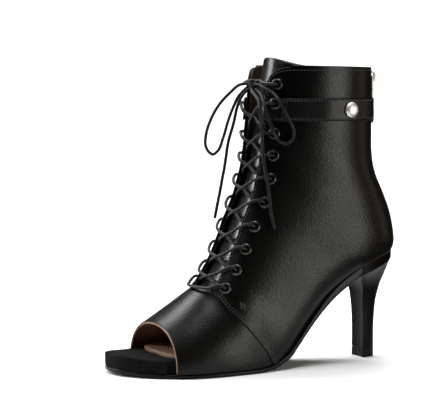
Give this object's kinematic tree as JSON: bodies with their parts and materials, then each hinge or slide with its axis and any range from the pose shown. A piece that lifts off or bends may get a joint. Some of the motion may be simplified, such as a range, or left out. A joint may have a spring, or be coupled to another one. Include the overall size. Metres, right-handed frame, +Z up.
{
  "type": "lace-up peep-toe ankle boot",
  "caption": "Heeled ankle boot with an open toe, a laced front with eyelets, a snap strap round the collar and a zip up the back.",
  "frame": {"origin": "on the floor, in the flat tread of the forefoot under the ball of the foot", "axes": "+Z up, -Y to the toe, +Y to the heel, +X to the outer side of this left boot"},
  "size_m": [0.0821, 0.225, 0.2245],
  "materials": {
    "upper_leather": "smooth satin black leather",
    "outsole": "thin matte black sole",
    "platform_suede": "black suede cover",
    "sock": "soft tan sock",
    "heel_gloss": "polished black",
    "heel_tip": "hard black top piece",
    "silver_metal": "polished silver",
    "dark_metal": "dark gunmetal plating",
    "zip": "black tape with coppery teeth",
    "lace": "round waxed black lace"
  },
  "bodies": {
    "boot": {"upper": "upper_leather", "outsole": "outsole", "platform": "platform_suede", "insole": "sock", "heel": "heel_gloss", "heel_tip": "heel_tip", "tongue": "upper_leather", "strap_lateral": "upper_leather", "strap_medial": "upper_leather", "snap": "silver_metal", "zip_tape": "zip", "zip_slider": "dark_metal", "eyelet_lateral_1": "dark_metal", "eyelet_lateral_2": "dark_metal", "eyelet_lateral_3": "dark_metal", "eyelet_lateral_4": "dark_metal", "eyelet_lateral_5": "dark_metal", "eyelet_lateral_6": "dark_metal", "eyelet_lateral_7": "dark_metal", "eyelet_lateral_8": "dark_metal", "eyelet_lateral_9": "dark_metal", "eyelet_lateral_10": "dark_metal", "eyelet_medial_1": "dark_metal", "eyelet_medial_2": "dark_metal", "eyelet_medial_3": "dark_metal", "eyelet_medial_4": "dark_metal", "eyelet_medial_5": "dark_metal", "eyelet_medial_6": "dark_metal", "eyelet_medial_7": "dark_metal", "eyelet_medial_8": "dark_metal", "eyelet_medial_9": "dark_metal", "eyelet_medial_10": "dark_metal", "lace_crossing_1": "lace", "lace_crossing_2": "lace", "lace_crossing_3": "lace", "lace_crossing_4": "lace", "lace_crossing_5": "lace", "lace_crossing_6": "lace", "lace_crossing_7": "lace", "lace_crossing_8": "lace", "lace_bar": "lace", "lace_knot": "lace", "lace_loop_lateral": "lace", "lace_loop_medial": "lace", "lace_end_lateral": "lace", "lace_end_medial": "lace"},
    "zip_pull": {"zip_pull": "dark_metal"}
  },
  "joints": [
    {"name": "zip_pull_hinge", "type": "hinge", "parent": "boot", "child": "zip_pull", "pos_m": [0, 0.13065, 0.2106], "axis": [1, 0, 0], "range_deg": [0, 150]}
  ]
}
